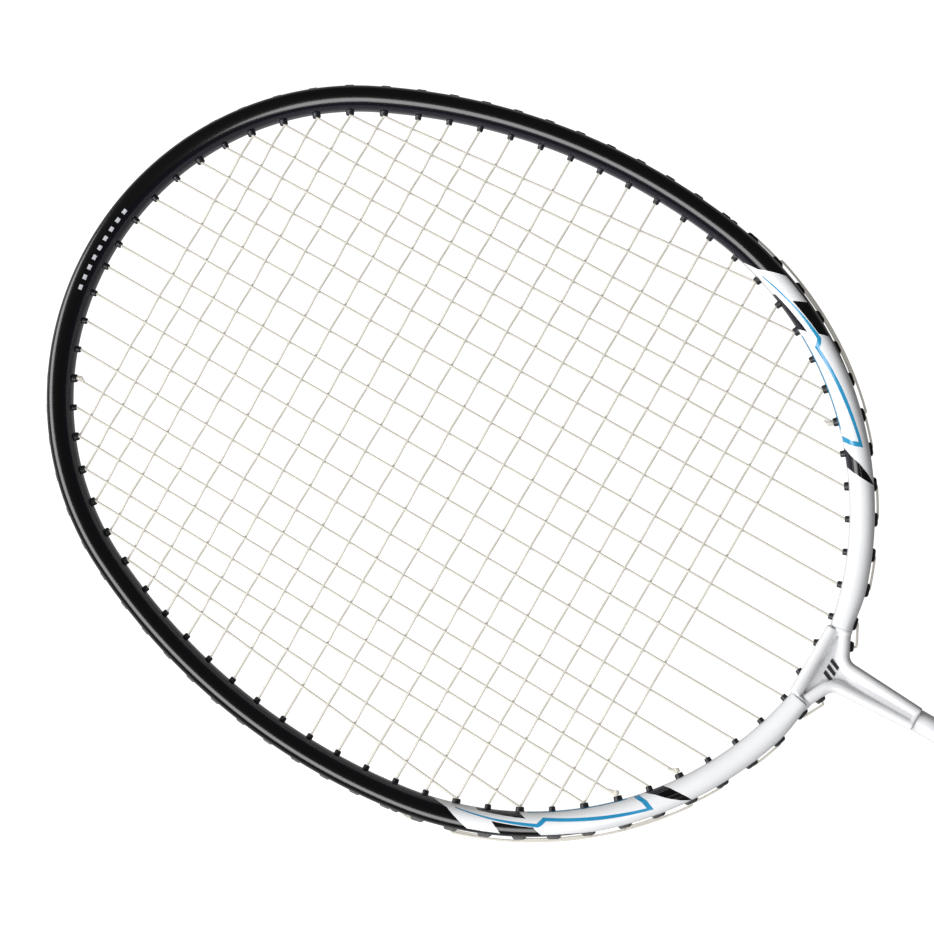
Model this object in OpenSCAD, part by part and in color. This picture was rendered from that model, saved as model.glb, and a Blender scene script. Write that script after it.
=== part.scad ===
// Badminton racket, millimetres.
// The racket lies flat: X across the head, Y from the butt to the top of the head,
// Z square to the strings. The string bed and the shaft's axis are at Z = 0.

/* [Head] */
// Overall length from the butt face to the top of the hoop
racket_len = 675; // [640:1:680]
// Radius of the crown and its corners, at the middle of the tube
crown_r = 86.8; // [84:0.2:90]
// Half of the crown's sweep, in degrees
crown_sweep = 65.2; // [64:0.1:66]
// Radius of each long side
side_r = 191.2; // [180:0.2:200]
// Sweep of each long side
side_sweep = 34.1; // [33:0.1:35]
// Radius of each lower side, down to the T-joint
lower_r = 102.6; // [100:0.2:105]
// Sweep of each lower side
lower_sweep = 70.2; // [69.6:0.1:70.8]
// Width of the hoop tube in the plane of the strings
tube_w = 7.1; // [6.8:0.1:7.4]
// Height of the hoop tube
tube_h = 10; // [9:0.1:11]
// Wall of the hoop tube
tube_wall = 0.85; // [0.7:0.05:1]

/* [Strings] */
// Spacing of the holes along the crown
crown_pitch = 9.2; // [9:0.05:9.3]
// Spacing of the holes around the upper corners
corner_pitch = 10.65; // [10.5:0.05:10.8]
// Spacing of the holes down the sides
side_pitch = 9.66; // [9.6:0.02:9.7]
// Spacing of the holes up from the T-joint
throat_pitch = 9.7; // [9.6:0.02:9.8]
// Diameter of the string
string_d = 0.7; // [0.6:0.02:0.74]

/* [Grommets] */
// Outside diameter of a grommet for one string
barrel_d = 2.2; // [2:0.1:2.3]
// Outside diameter of a grommet that two strings share
wide_d = 2.8; // [2.7:0.1:3]
// How far a grommet stands out inside the hoop
barrel_out = 1.5; // [1:0.1:2]

/* [T-joint and shaft] */
// Width of the bar across the throat
bar_w = 3; // [2.6:0.1:3.4]
// Width of each leg of the T-joint
leg_w = 3.6; // [3.2:0.1:3.8]
// Height of the legs
leg_h = 8; // [7.4:0.1:8.6]
// Outside diameter of the shaft
shaft_d = 6.4; // [6:0.1:6.8]
// Wall of the shaft
shaft_wall = 0.55; // [0.4:0.05:0.7]

/* [Handle] */
// Length of the handle and its grip
handle_len = 168; // [150:1:180]
// Length of the cone above the grip
cone_len = 44; // [36:1:50]
// Width of the handle's core over its flats
core_w = 22; // [20:0.5:23]
// Thickness of the handle's core over its flats
core_t = 20; // [18:0.5:21]
// Thickness of the grip tape
grip_t = 1.9; // [1.4:0.1:2.2]

/* [Hidden] */
$fn = 48;
eps = 0.01;
half_w = tube_w / 2;
top_y = racket_len - half_w;
arc_r = [crown_r, side_r, lower_r];
arc_end = [crown_sweep, crown_sweep + side_sweep, crown_sweep + side_sweep + lower_sweep];
arc_start = [0, arc_end[0], arc_end[1]];
groove_end = arc_end[1];
groove_floor = 2;
seat_t = 0.6;
proud_t = 0.9;
tip = half_w + barrel_out;
main_pairs = 11;
cross_n = 22;
lane = 0.42;
tie_lift = 0.75;
weave = string_d + 0.02;
joint_gap = 0.2;

// The hoop is a chain of tangent arcs. An angle on it is measured from the top,
// to the right when positive and to the left when negative.
function along(a) = [sin(a), cos(a)];
function arc_c(k) = k == 0 ? [0, top_y - arc_r[0]]
    : arc_c(k - 1) + (arc_r[k - 1] - arc_r[k]) * along(arc_end[k - 1]);
function arc_of(a) = a <= arc_end[0] ? 0 : a <= arc_end[1] ? 1 : 2;
function side_of(a) = a < 0 ? -1 : 1;
function at(a, d, z = 0) =
    let (b = abs(a), k = arc_of(b), p = arc_c(k) + (arc_r[k] + d) * along(b))
    [side_of(a) * p[0], p[1], z];
arc_len = [for (k = [0:2]) arc_r[k] * (arc_end[k] - arc_start[k]) * PI / 180];
function angle_at(s) =
    s < arc_len[0] ? s / arc_r[0] * 180 / PI
    : s < arc_len[0] + arc_len[1] ? arc_end[0] + (s - arc_len[0]) / arc_r[1] * 180 / PI
    : arc_end[1] + (s - arc_len[0] - arc_len[1]) / arc_r[2] * 180 / PI;

// Holes are spaced along the tube. TOP and LOW hold the main strings from the middle
// out, and CROSS the cross strings from the top down. Five corner holes take both.
corner_s = 4 + 6 * crown_pitch;
side_s = corner_s + 5 * corner_pitch;
throat_s = arc_len[0] + arc_len[1] + arc_len[2] - 2.8;
CROSS = [for (j = [0:cross_n - 1])
    angle_at(j < 5 ? corner_s + j * corner_pitch : side_s + (j - 5) * side_pitch)];
TOP = [for (k = [0:main_pairs - 1]) k < 7 ? angle_at(4 + k * crown_pitch) : CROSS[k - 6]];
LOW = [for (k = [1:main_pairs - 1])
    k < 8 ? angle_at(throat_s - (k - 1) * throat_pitch) : CROSS[cross_n + 15 - 2 * k]];
TOP_TIE = 5;
LOW_CROSS_TIE = 6;
LOW_MAIN_TIE = 8;
WIDE = concat([TOP[TOP_TIE - 1]], [for (k = [6:main_pairs - 1]) TOP[k]],
    [LOW[LOW_CROSS_TIE - 2], LOW[LOW_MAIN_TIE - 2]], [for (k = [7:main_pairs - 2]) LOW[k]]);
NARROW = concat([for (a = TOP) if (!is_wide(a)) a], [for (a = LOW) if (!is_wide(a)) a],
    [for (a = CROSS) if (!is_wide(a)) a]);
function is_wide(a) = len([for (w = WIDE) if (w == a) w]) > 0;
function in_groove(a) = abs(a) < groove_end;
function seat(a) = in_groove(a) ? groove_floor + seat_t : half_w + proud_t;
function lay(a) = seat(a) + string_d / 2 + 0.02;

// T-joint: the bar, the legs and the skew holes of the two middle strings.
bar_y = at(arc_end[2], -half_w)[1] + 0.3 - bar_w / 2;
seam_a = arc_end[2];
leg_c = [7.75, bar_y - 10.4];
leg_arc = leg_w / 2 + 3;
leg_lo = leg_c + leg_arc * [-along(86.9)[0], along(86.9)[1]];
leg_hi = leg_c + leg_arc * [-along(25)[0], along(25)[1]];
leg_seam = [for (i = [0, 1]) at(seam_a, 0.9)[i]];
stem_y = leg_lo[1] - 22.4;
skew_in = [4.3, bar_y + bar_w / 2 + barrel_out];
skew_out = [8.9, bar_y - 7.6];
shaft_in = shaft_d / 2 - shaft_wall;

function unit(v) = v / norm(v);

// Tube along a path, always level with Z, mitred at every corner.
module cord(path, d, n) {
    last = len(path) - 1;
    dirs = [for (i = [0:last - 1]) unit(path[i + 1] - path[i])];
    rings = [for (i = [0:last])
        let (a = dirs[max(0, i - 1)], b = dirs[min(last - 1, i)], t = unit(a + b),
            grow = min(1.5, 1 / max(0.5, t * b)),
            s = unit(cross(t, [0, 0, 1])), u = cross(s, t))
        for (q = [0:n - 1])
            path[i] + d / 2 * (grow * cos(360 * q / n) * s + sin(360 * q / n) * u)];
    walls = [for (i = [0:last - 1]) for (q = [0:n - 1])
        let (r = (q + 1) % n)
        each [[i * n + q, i * n + r, (i + 1) * n + r], [i * n + q, (i + 1) * n + r, (i + 1) * n + q]]];
    ends = [[for (q = [n - 1:-1:0]) q], [for (q = [0:n - 1]) last * n + q]];
    polyhedron(rings, concat(walls, ends), convexity = 10);
}

// Flat-sided tube section with round top and bottom.
module obround(w, h) {
    for (s = [-1, 1])
        translate([0, s * (h - w) / 2]) circle(d = w);
    square([w, h - w], center = true);
}

module bar(p, q, w, h) {
    translate([p[0], p[1], 0])
        rotate([0, 0, atan2(q[1] - p[1], q[0] - p[0])])
            rotate([90, 0, 90]) linear_extrude(norm(q - p)) obround(w, h);
}

// Places children with X pointing outward at an angle on the hoop.
module on_hoop(a) {
    translate(at(a, 0)) rotate([0, 0, 90 - a]) children();
}

module arc_sweep(k, from, to) {
    gap = joint_gap / arc_r[k] * 180 / PI;
    translate([arc_c(k)[0], arc_c(k)[1], 0]) rotate([0, 0, 90 - to + gap])
        rotate_extrude(angle = to - from - 2 * gap) translate([arc_r[k], 0]) children();
}

// Short straight length that joins two arcs of the tube.
module joint(a) {
    on_hoop(a) rotate([90, 0, 0]) translate([0, 0, -3 * joint_gap])
        linear_extrude(6 * joint_gap) children();
}

// Tube section with the string groove; grow thickens its walls.
module grooved_section(grow = 0) {
    difference() {
        obround(tube_w + grow, tube_h + grow);
        translate([-0.75, 0]) obround(3.9 - grow, tube_h - 2 * tube_wall - grow);
        translate([groove_floor + 1 + grow / 2, 0]) square([2, 3.8 - grow], center = true);
    }
}

module plain_section() {
    difference() {
        obround(tube_w, tube_h);
        obround(tube_w - 2 * tube_wall, tube_h - 2 * tube_wall);
    }
}

// One side of the hoop's tube, from the end of the crown to the T-joint.
module side_tube() {
    joint(arc_end[0]) grooved_section(0.04);
    arc_sweep(1, arc_end[0], arc_end[1]) grooved_section();
    joint(arc_end[1]) difference() {
        obround(tube_w + 0.04, tube_h + 0.04);
        translate([-0.75, 0]) obround(3.86, tube_h - 2 * tube_wall - 0.04);
    }
    arc_sweep(2, arc_end[1], arc_end[2]) plain_section();
}

module drill(a, d) {
    on_hoop(a) rotate([0, 90, 0]) cylinder(d = d, h = tube_w + 4, center = true, $fn = 24);
}

module head_hoop() {
    color("#17181c") difference() {
        union() {
            arc_sweep(0, -arc_end[0], arc_end[0]) grooved_section();
            side_tube();
            mirror([1, 0, 0]) side_tube();
        }
        for (s = [-1, 1]) {
            for (a = NARROW)
                drill(s * a, barrel_d);
            for (a = WIDE)
                drill(s * a, wide_d);
        }
    }
}

// One grommet: a barrel through the tube and a seat flange on its outer side.
module grommet(a, d, bore) {
    base = in_groove(a) ? groove_floor : half_w;
    on_hoop(a) difference() {
        union() {
            translate([-tip, 0, 0]) rotate([0, 90, 0]) cylinder(d = d, h = tip + base + eps, $fn = 24);
            translate([base, 0, 0]) rotate([90, 0, 90])
                linear_extrude(seat(a) - base) square([4, 2.8], center = true);
        }
        translate([-tip - 1, 0, 0]) rotate([0, 90, 0]) cylinder(d = bore, h = 2 * tip + 2, $fn = 24);
    }
}

module crown_grommets() {
    color("#26272a") for (s = [-1, 1])
        for (a = NARROW)
            if (a < arc_end[0]) grommet(s * a, barrel_d, 1.1);
}

module side_grommets(s) {
    for (a = NARROW)
        if (a >= arc_end[0] && a < arc_end[1]) grommet(s * a, barrel_d, 1.1);
}

module right_grommets() {
    color("#26272a") side_grommets(1);
}

module left_grommets() {
    color("#26272a") side_grommets(-1);
}

module throat_grommets() {
    color("#26272a") {
        for (s = [-1, 1])
            for (a = NARROW)
                if (a >= arc_end[1]) grommet(s * a, barrel_d, 1.1);
        for (s = [0, 1])
            mirror([s, 0, 0]) skew_grommet();
    }
}

// The two middle strings leave through the T-joint on a slant.
module skew_grommet() {
    run = skew_out - skew_in;
    translate([skew_in[0], skew_in[1], 0]) rotate([0, 0, atan2(run[1], run[0])])
        difference() {
            union() {
                rotate([0, 90, 0]) cylinder(d = barrel_d, h = norm(run) - proud_t + eps, $fn = 24);
                translate([norm(run) - proud_t, 0, 0]) rotate([90, 0, 90])
                    linear_extrude(proud_t) square([3.4, 2.8], center = true);
            }
            translate([-1, 0, 0]) rotate([0, 90, 0]) cylinder(d = 1.1, h = norm(run) + 2, $fn = 24);
        }
}

module shared_grommets() {
    color("#26272a") for (s = [-1, 1])
        for (a = WIDE)
            grommet(s * a, wide_d, 1.8);
}

// Ramp that closes the end of the string groove.
module groove_ramp() {
    on_hoop(groove_end - 1.5) translate([0, 0, -1.85]) linear_extrude(3.7)
        polygon([[groove_floor + 0.05, 3.9], [groove_floor + 0.05, -4.6], [half_w + 0.5, -4.6],
            [half_w + 0.5, -2.6]]);
}

module right_groove_end() {
    color("#2b2c2f") groove_ramp();
}

module left_groove_end() {
    color("#2b2c2f") mirror([1, 0, 0]) groove_ramp();
}

// The bend is a hair thicker than the straights, which run a little way into it.
module t_leg() {
    down = unit(along(3.1));
    up = unit(leg_seam - leg_hi);
    bar(leg_lo - 22.4 * down, leg_lo + 0.3 * down, leg_w, leg_h);
    translate([leg_c[0], leg_c[1], 0]) rotate([0, 0, 115])
        rotate_extrude(angle = 61.9) translate([leg_arc, 0]) obround(leg_w + 0.06, leg_h + 0.06);
    bar(leg_hi - 0.3 * up, leg_seam, leg_w, leg_h);
    bar(leg_seam - 2 * [cos(13.5), sin(13.5)], leg_seam + 0.2 * [cos(13.5), sin(13.5)],
        5.2, tube_h - 0.8);
}

// Tongue of the T-joint inside the open end of the hoop.
module hoop_tongue() {
    on_hoop(seam_a) rotate([0, 0, 90]) rotate([90, 0, 90])
        translate([0, 0, -3]) linear_extrude(12) obround(4.9, 8);
}

module t_joint() {
    color("#f2f3f5") difference() {
        union() {
            bar([-at(seam_a, 0)[0], bar_y], [at(seam_a, 0)[0], bar_y], bar_w, leg_h + 0.6);
            for (s = [0, 1])
                mirror([s, 0, 0]) {
                    t_leg();
                    hoop_tongue();
                }
            translate([0, 0, -1.3]) linear_extrude(2.6)
                polygon([[-10.5, bar_y], [10.5, bar_y], [3.2, leg_lo[1]], [1.5, stem_y + 1],
                    [-1.5, stem_y + 1], [-3.2, leg_lo[1]]]);
            translate([0, stem_y - 20, 0]) rotate([-90, 0, 0]) cylinder(r = shaft_in - 0.05, h = 24);
        }
        for (s = [0, 1])
            mirror([s, 0, 0]) translate([skew_in[0], skew_in[1], 0])
                rotate([0, 0, atan2(skew_out[1] - skew_in[1], skew_out[0] - skew_in[0])])
                    rotate([0, 90, 0]) cylinder(d = barrel_d, h = 14, $fn = 24);
    }
}

// Generic mark: three slanted bars on the web of the T-joint.
module slant_mark() {
    for (i = [-1, 0, 1])
        translate([i * 1.9, bar_y - 5.4, 0]) linear_extrude(0.3)
            polygon([[-1.1, -1.5], [-0.1, -1.5], [1.1, 1.5], [0.1, 1.5]]);
}

module t_mark_front() {
    color("#1c1d20") translate([0, 0, 1.3]) slant_mark();
}

module t_mark_back() {
    color("#1c1d20") rotate([0, 180, 0]) translate([0, 0, 1.3]) slant_mark();
}

module shaft() {
    color("#eceded") translate([0, handle_len - 60, 0]) rotate([-90, 0, 0]) difference() {
        cylinder(d = shaft_d, h = stem_y - handle_len + 60);
        translate([0, 0, -1]) cylinder(r = shaft_in, h = stem_y);
    }
}

// Turned about the racket's long axis from a radius and height outline.
module turned() {
    rotate([-90, 0, 0]) rotate_extrude() children();
}

module cone_cap() {
    color("#232427") translate([0, handle_len, 0]) turned()
        polygon([[shaft_d / 2, 0], [9.6, 0], [9.6, 3], [8.8, 9], [7.4, 16], [6.1, 23], [5.2, 30],
            [4.7, 37], [4.4, cone_len - 1], [4.1, cone_len], [shaft_d / 2, cone_len]]);
}

// Bar with an octagon section, its flats on all four sides.
module octagon_bar(w, h, len) {
    c = 0.28 * h;
    rotate([-90, 0, 0]) linear_extrude(len)
        polygon([[w / 2, c - h / 2], [w / 2, h / 2 - c], [w / 2 - c, h / 2], [c - w / 2, h / 2],
            [-w / 2, h / 2 - c], [-w / 2, c - h / 2], [c - w / 2, -h / 2], [w / 2 - c, -h / 2]]);
}

module handle_core() {
    color("#c9a36b") translate([0, 6, 0]) difference() {
        octagon_bar(core_w, core_t, handle_len - 6);
        translate([0, handle_len - 66, 0]) rotate([-90, 0, 0]) cylinder(d = shaft_d, h = 61);
    }
}

module grip_wrap() {
    color("#1d1d1f") translate([0, 12, 0]) difference() {
        octagon_bar(core_w + 2 * grip_t, core_t + 2 * grip_t, handle_len - 16);
        translate([0, -1, 0]) octagon_bar(core_w, core_t, handle_len);
    }
}

module finishing_tape() {
    color("#35363a") translate([0, handle_len - 4, 0]) difference() {
        octagon_bar(core_w + 2 * grip_t, core_t + 2 * grip_t, 4);
        translate([0, -1, 0]) octagon_bar(core_w, core_t, 6);
    }
}

module butt_cap() {
    color("#202124") difference() {
        turned() polygon([[0, 0], [13.4, 0], [14.4, 1], [14.6, 3.5], [14.3, 7], [13.6, 12], [0, 12]]);
        translate([0, 6, 0]) octagon_bar(core_w, core_t, 10);
        translate([0, -1, 0]) rotate([-90, 0, 0]) cylinder(r = 8, h = 1.6);
    }
}

module butt_badge() {
    color("#b9bcc2") rotate([-90, 0, 0]) cylinder(r = 7.9, h = 0.6);
}

// Route of the strings. A hole is [inner tip, outer point] at an angle on the hoop.
function hole(a, z) = [at(a, -tip, z), at(a, seat(a) + 0.1, z)];
function skew_hole(s) = [[s * skew_in[0], skew_in[1], 0], [s * skew_out[0], skew_out[1] - 0.1, 0]];
function hole_z(a, z) = is_wide(abs(a)) ? z : 0;
function turn(a, b) = a + side_of(b - a) * 0.35;
function loop(a, b, z, lift = 0) =
    let (from = turn(a, b), to = turn(b, a), n = max(1, ceil(abs(to - from) / 4)))
    [for (i = [0:n]) let (c = from + (to - from) * i / n) at(c, lay(c) + lift, z)];

function main_side(m) = m <= main_pairs ? -1 : 1;
function main_k(m) = m <= main_pairs ? main_pairs + 1 - m : m - main_pairs;
function top_a(m) = main_side(m) * TOP[main_k(m) - 1];
function low_a(m) = main_side(m) * LOW[main_k(m) - 2];
function main_hole(m, top) = top ? hole(top_a(m), hole_z(top_a(m), lane))
    : main_k(m) == 1 ? skew_hole(main_side(m)) : hole(low_a(m), hole_z(low_a(m), lane));
function flip(h) = [h[1], h[0]];
function main_run(m) = let (up = m % 2 == 1) concat(flip(main_hole(m, !up)), main_hole(m, up));
function skew_loop(m) = let (s = main_side(m), a = s * LOW[0], o = skew_hole(s)[1],
        p = [o + [s * 0.5, -0.5, lane], at(a - s * 0.35, lay(a), lane)])
    m % 2 == 0 && s < 0 ? flip(p) : p;
function main_link(m) = m % 2 == 1 ? loop(top_a(m), top_a(m + 1), lane)
    : main_k(m) > 1 && main_k(m + 1) > 1 ? loop(low_a(m), low_a(m + 1), lane)
    : skew_loop(m);
function main_tie(s) =
    let (a = s * LOW[main_pairs - 2], b = s * LOW[LOW_MAIN_TIE - 2])
    concat(loop(a, b, 0, tie_lift), flip(hole(b, -lane)));
function reversed(v) = [for (i = [len(v) - 1:-1:0]) v[i]];
MAIN_ROUTE = concat(reversed(main_tie(-1)),
    [for (m = [1:cross_n]) each concat(main_run(m), m < cross_n ? main_link(m) : [])],
    main_tie(1));

// Cross strings pass over and under the mains by turns.
function main_x(m, y) =
    let (s = main_side(m), k = main_k(m), a = at(TOP[k - 1], -tip),
        b = k == 1 ? skew_in : at(LOW[k - 2], -tip))
    s * (b[0] + (a[0] - b[0]) * (y - b[1]) / (a[1] - b[1]));
function cross_mids(j, right) =
    let (p = at(CROSS[j - 1], -tip),
        found = [for (m = [1:cross_n])
            let (x = main_x(m, p[1]))
            if (abs(x) < p[0] - 1.5) [x, p[1], (m + j) % 2 == 0 ? weave : -weave]])
    right ? found : reversed(found);
function cross_hole(j, s) = let (a = s * CROSS[j - 1]) hole(a, hole_z(a, -lane));
function cross_run(j) = let (s = j % 2 == 1 ? 1 : -1)
    concat(flip(cross_hole(j, -s)), cross_mids(j, s > 0), cross_hole(j, s));
function cross_link(j) = let (s = j % 2 == 1 ? 1 : -1)
    loop(s * CROSS[j - 1], s * CROSS[j], -lane);
CROSS_ROUTE = concat(hole(-TOP[TOP_TIE - 1], -lane),
    loop(-TOP[TOP_TIE - 1], -CROSS[0], -lane, tie_lift),
    [for (j = [1:cross_n]) each concat(cross_run(j), j < cross_n ? cross_link(j) : [])],
    loop(-CROSS[cross_n - 1], -LOW[LOW_CROSS_TIE - 2], -lane, tie_lift),
    flip(hole(-LOW[LOW_CROSS_TIE - 2], -lane)));

module main_string() {
    color("#d9d5ca") cord(MAIN_ROUTE, string_d, 8);
}

module cross_string() {
    color("#d9d5ca") cord(CROSS_ROUTE, string_d, 6);
}

// Knot pulled tight against a grommet's tip: two turns around the string.
module knot(a) {
    translate(at(a, -tip - 1.1)) rotate([0, 90, 90])
        for (i = [-1, 1])
            translate([0, 0, i * 0.36]) rotate_extrude($fn = 24) translate([0.8, 0]) circle(r = 0.42);
}

module main_knots() {
    color("#d9d5ca") for (s = [-1, 1])
        knot(s * LOW[LOW_MAIN_TIE - 2]);
}

module cross_knots() {
    color("#d9d5ca") {
        knot(-TOP[TOP_TIE - 1]);
        knot(-LOW[LOW_CROSS_TIE - 2]);
    }
}

head_hoop();
t_joint();
t_mark_front();
t_mark_back();
shaft();
cone_cap();
handle_core();
grip_wrap();
finishing_tape();
butt_cap();
butt_badge();
crown_grommets();
right_grommets();
left_grommets();
throat_grommets();
shared_grommets();
right_groove_end();
left_groove_end();
main_string();
cross_string();
main_knots();
cross_knots();
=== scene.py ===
import math

import bmesh
import bpy
import numpy as np
from mathutils import Matrix, Vector


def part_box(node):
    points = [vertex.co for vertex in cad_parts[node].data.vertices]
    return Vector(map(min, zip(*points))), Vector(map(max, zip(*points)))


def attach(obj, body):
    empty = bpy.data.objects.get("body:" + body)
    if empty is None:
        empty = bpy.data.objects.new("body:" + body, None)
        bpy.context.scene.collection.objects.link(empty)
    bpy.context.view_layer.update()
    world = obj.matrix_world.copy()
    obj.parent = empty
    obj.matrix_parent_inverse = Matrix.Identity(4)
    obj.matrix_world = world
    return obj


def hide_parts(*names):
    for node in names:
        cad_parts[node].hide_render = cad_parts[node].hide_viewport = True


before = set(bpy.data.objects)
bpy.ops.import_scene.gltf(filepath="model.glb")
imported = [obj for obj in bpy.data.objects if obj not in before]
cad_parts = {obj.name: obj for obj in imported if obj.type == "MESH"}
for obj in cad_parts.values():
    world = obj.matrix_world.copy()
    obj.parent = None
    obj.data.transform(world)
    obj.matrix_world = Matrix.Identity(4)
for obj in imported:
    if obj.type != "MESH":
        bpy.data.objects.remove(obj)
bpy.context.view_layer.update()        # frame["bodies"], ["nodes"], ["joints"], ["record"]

# ---- Head hoop ----
# The hoop is one drawn aluminium tube, bent to a rounded oval, with a groove rolled into
# its outer side for the strings. It is enamelled black over the crown and white below,
# with slanted stripes printed where the colours meet, all under a gloss clear coat.

MM = 0.001
half_tube = 3.55
hoop_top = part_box("head_hoop")[1].y / MM - half_tube
arc_radius = np.array([86.8, 191.2, 102.6])
arc_sweep = np.radians([65.2, 34.1, 70.2])
arc_turn = np.concatenate([[0.0], np.cumsum(arc_sweep)])
arc_start = np.concatenate([[0.0], np.cumsum(arc_radius * arc_sweep)])
arc_centre = np.zeros((3, 2))
arc_centre[0] = (0.0, hoop_top - arc_radius[0])
for k in (1, 2):
    outward = np.array([math.sin(arc_turn[k]), math.cos(arc_turn[k])])
    arc_centre[k] = arc_centre[k - 1] + (arc_radius[k - 1] - arc_radius[k]) * outward
groove_stop = arc_start[2]
hoop_stop = arc_start[3]


def hoop_angle(run):
    """Angle from the top of the hoop at an arc length from it, in mm; left is negative."""
    length = np.abs(run)
    k = np.clip(np.searchsorted(arc_start[1:], length), 0, 2)
    return np.sign(run) * (arc_turn[k] + (length - arc_start[k]) / arc_radius[k])


def hoop_at(run, out=0.0, up=0.0):
    """Point in mm at an arc length from the top, out from the middle of the tube, and up."""
    run, out, up = np.broadcast_arrays(np.asarray(run, float), out, up)
    k = np.clip(np.searchsorted(arc_start[1:], np.abs(run)), 0, 2)
    angle = np.abs(hoop_angle(run))
    x = arc_centre[k, 0] + (arc_radius[k] + out) * np.sin(angle)
    y = arc_centre[k, 1] + (arc_radius[k] + out) * np.cos(angle)
    return np.stack([np.where(run < 0, -x, x), y, up], axis=-1)


def tube_outline(depth, outer):
    """Closed outline (out, up) of the tube: groove, lips, boxy outer and round inner side."""
    crest, top = 0.6, 5.0
    lip = [(outer - depth, 0.0), (outer - depth, 1.6), (outer - 0.8 * depth, 1.85),
           (outer - 0.12, 1.92), (outer, 2.04), (outer, 2.25)]
    turn = np.radians(np.linspace(4, 90, 13))
    outer_arc = [(crest + (outer - crest) * math.cos(a), top - 2.6 + 2.6 * math.sin(a)) for a in turn]
    turn = np.radians(np.linspace(95, 176, 18))
    inner_arc = [(crest + (half_tube + crest) * math.cos(a), top - 4.5 + 4.5 * math.sin(a)) for a in turn]
    upper = lip + outer_arc + inner_arc + [(-half_tube, 0.0)]
    lower = [(out, -up) for out, up in upper[-2:0:-1]]
    return np.array(upper + lower)


def grid_faces(rows, columns, closed=False):
    """Quads between rows of points; each row is a ring, and closed joins the last to the first."""
    i, j = np.meshgrid(np.arange(rows if closed else rows - 1), np.arange(columns), indexing="ij")
    below, beside = (i + 1) % rows, (j + 1) % columns
    quads = np.stack([i * columns + j, i * columns + beside,
                      below * columns + beside, below * columns + j], axis=-1)
    return quads.reshape(-1, 4).tolist()


def tube_faces(rows, columns):
    """A grid of rings with a flat face over each end."""
    last = (rows - 1) * columns
    return grid_faces(rows, columns) + [list(range(columns)), list(range(last, last + columns))]


def put(name, data):
    """New object in the scene."""
    made = bpy.data.objects.new(name, data)
    bpy.context.scene.collection.objects.link(made)
    return made


def make_piece(name, points, faces, material, sharp=38, **attributes):
    """Mesh piece from points in mm, smooth but for its hard edges, riding on the frame."""
    mesh = bpy.data.meshes.new(name)
    mesh.from_pydata((np.asarray(points) * MM).tolist(), [], faces)
    work = bmesh.new()
    work.from_mesh(mesh)
    bmesh.ops.recalc_face_normals(work, faces=work.faces)
    work.to_mesh(mesh)
    work.free()
    for key, values in attributes.items():
        layer = mesh.attributes.new(key, "FLOAT", "POINT")
        layer.data.foreach_set("value", np.asarray(values, np.float32))
    mesh.polygons.foreach_set("use_smooth", [True] * len(mesh.polygons))
    mesh.set_sharp_from_angle(angle=math.radians(sharp))
    mesh.materials.append(material)
    piece = put(name, mesh)
    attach(piece, "root")
    return piece


def linear(code):
    """sRGB hex colour as linear RGBA."""
    parts = [int(code[i:i + 2], 16) / 255 for i in (1, 3, 5)]
    return [c / 12.92 if c <= 0.04045 else ((c + 0.055) / 1.055) ** 2.4 for c in parts] + [1.0]


def add(tree, kind, settings=None, links=None):
    """Adds a shader node with its settings, and links other nodes' sockets to it."""
    node = tree.nodes.new("ShaderNode" + kind)
    for key, value in (settings or {}).items():
        if isinstance(key, str) and key in node.bl_rna.properties:
            setattr(node, key, value)
        else:
            node.inputs[key].default_value = value
    for key, source in (links or {}).items():
        tree.links.new(source, node.inputs[key])
    return node


def new_material(name, finish):
    """Material with one Principled shader, whose own sockets finish sets, and the place on it."""
    made = bpy.data.materials.new(name)
    made.use_nodes = True
    shader = made.node_tree.nodes["Principled BSDF"]
    for key, value in finish.items():
        shader.inputs[key].default_value = value
    return made, made.node_tree, shader, add(made.node_tree, "TexCoord").outputs["Object"]


def dress(tree, shader, colour, roughness, normal):
    """Links what varies over a surface to its shader."""
    for key, source in (("Base Color", colour), ("Roughness", roughness), ("Normal", normal)):
        tree.links.new(source, shader.inputs[key])


def inside(tree, place, corners, edge=0.07):
    """Mask of a convex outline on the (along, across) plane, in mm, with a soft edge."""
    centre = np.mean(corners, axis=0)
    found = None
    for a, b in zip(corners, corners[1:] + corners[:1]):
        normal = np.array([a[1] - b[1], b[0] - a[0]]) / math.dist(a, b)
        if np.dot(normal, centre - a) < 0:
            normal = -normal
        line = (*normal, -float(np.dot(normal, a)))
        reach = add(tree, "VectorMath", {"operation": "DOT_PRODUCT", 1: line}, {0: place}).outputs["Value"]
        if found is not None:
            reach = add(tree, "Math", {"operation": "MINIMUM"}, {0: found, 1: reach}).outputs[0]
        found = reach
    return add(tree, "Math", {"operation": "MULTIPLY_ADD", 1: 1 / edge, 2: 0.5, "use_clamp": True},
               {0: found}).outputs[0]


# Gloss enamel on aluminium, sprayed and clear-coated: deep colour under a coat just soft
# enough that a strip light lies on it as a broad grey line, with a faint orange peel about
# 1.5 mm across and the finest dulling from handling.
enamel, tree, shader, rest = new_material("gloss enamel on aluminium", {
    "IOR": 1.5, "Specular IOR Level": 0.1, "Coat Weight": 0.9, "Coat Roughness": 0.2})
along, across = (add(tree, "Attribute", {"attribute_name": key}).outputs["Fac"]
                 for key in ("along", "across"))
place = add(tree, "CombineXYZ", {"Z": 1.0}, {"X": along, "Y": across}).outputs[0]
cloud = add(tree, "TexNoise", {"Scale": 1 / (11 * MM), "Detail": 3.0}, {"Vector": rest}).outputs["Fac"]
peel = add(tree, "TexNoise", {"Scale": 1 / (1.5 * MM), "Detail": 1.0}, {"Vector": rest}).outputs["Fac"]
scuff = add(tree, "TexNoise", {"Scale": 1 / (0.4 * MM), "Detail": 2.0}, {"Vector": rest}).outputs["Fac"]

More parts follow.
